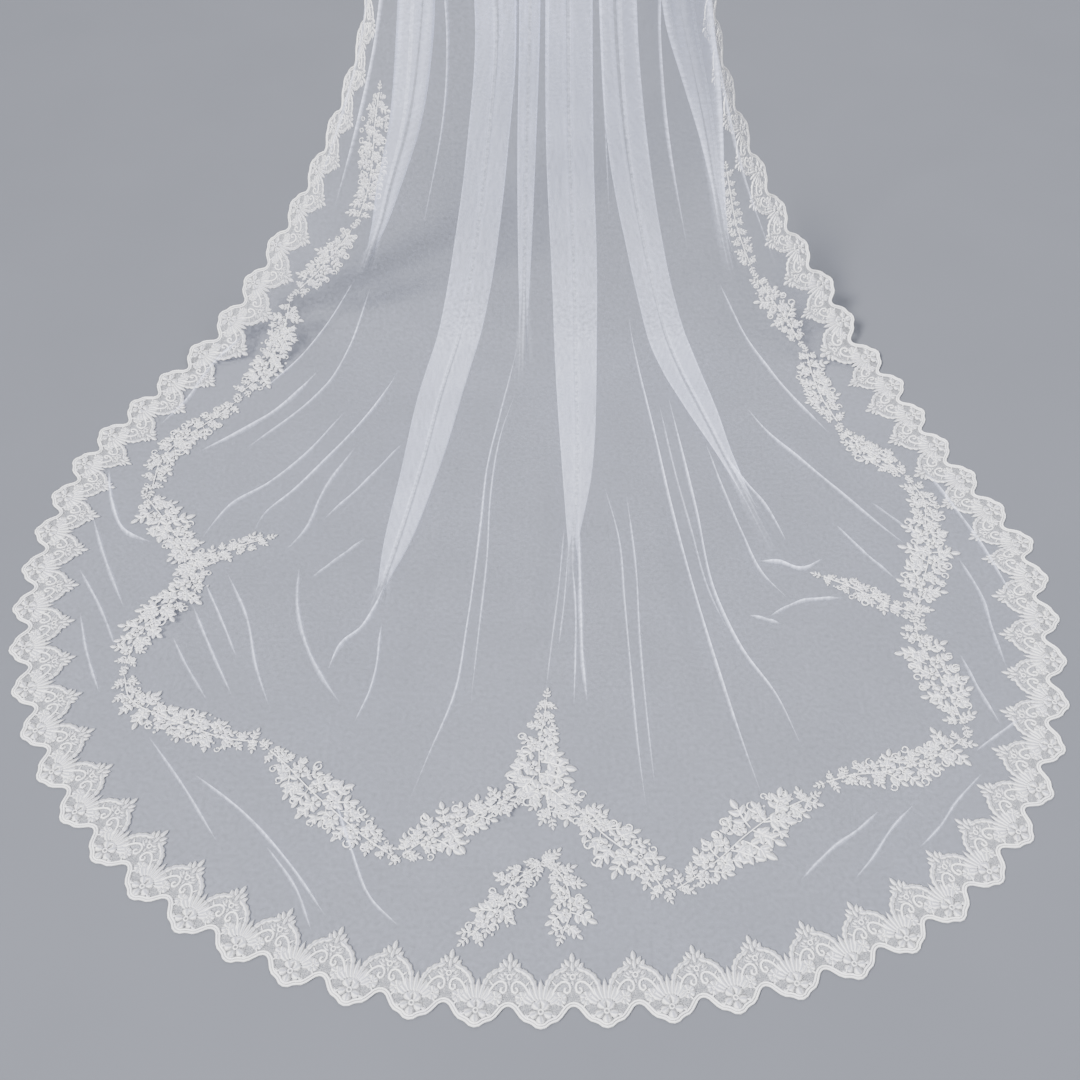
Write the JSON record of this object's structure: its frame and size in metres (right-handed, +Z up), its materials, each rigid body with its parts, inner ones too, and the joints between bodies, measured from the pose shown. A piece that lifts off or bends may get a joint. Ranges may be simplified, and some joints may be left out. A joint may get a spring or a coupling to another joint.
{
  "type": "bridal veil",
  "caption": "Cathedral bridal veil as worn: soft tulle hung from a comb, falling in flattened folds and spreading in a round train, with a scalloped lace edging and lace sprays.",
  "frame": {"origin": "on the comb's spine, at its middle, where the veil is held at the back of the crown", "axes": "+Z up along the hanging veil, -Y backwards along the train, +X to the right as seen from behind"},
  "size_m": [1.6172, 1.6034, 1.6877],
  "materials": {
    "tulle": "sheer, soft sheen",
    "lace": "corded, matt with a faint sheen",
    "comb_metal": "satin"
  },
  "bodies": {
    "root": {"tulle_fall": "tulle", "tulle_sweep": "tulle", "tulle_train": "tulle", "lace_edge_left": "lace", "lace_edge_end": "lace", "lace_edge_right": "lace", "spray_left_top": "lace", "spray_left_high": "lace", "spray_left_mid": "lace", "spray_left_low": "lace", "spray_left_knot": "lace", "spray_left_branch": "lace", "spray_left_foot": "lace", "spray_left_hem": "lace", "spray_centre_left": "lace", "spray_centre": "lace", "spray_centre_right": "lace", "spray_right_hem": "lace", "spray_right_foot": "lace", "spray_right_rise": "lace", "spray_right_branch": "lace", "spray_right_knot": "lace", "spray_right_low": "lace", "spray_right_mid": "lace", "spray_right_high": "lace", "spray_right_top": "lace", "spray_small_left": "lace", "spray_small_right": "lace", "comb": "comb_metal"}
  },
  "joints": []
}
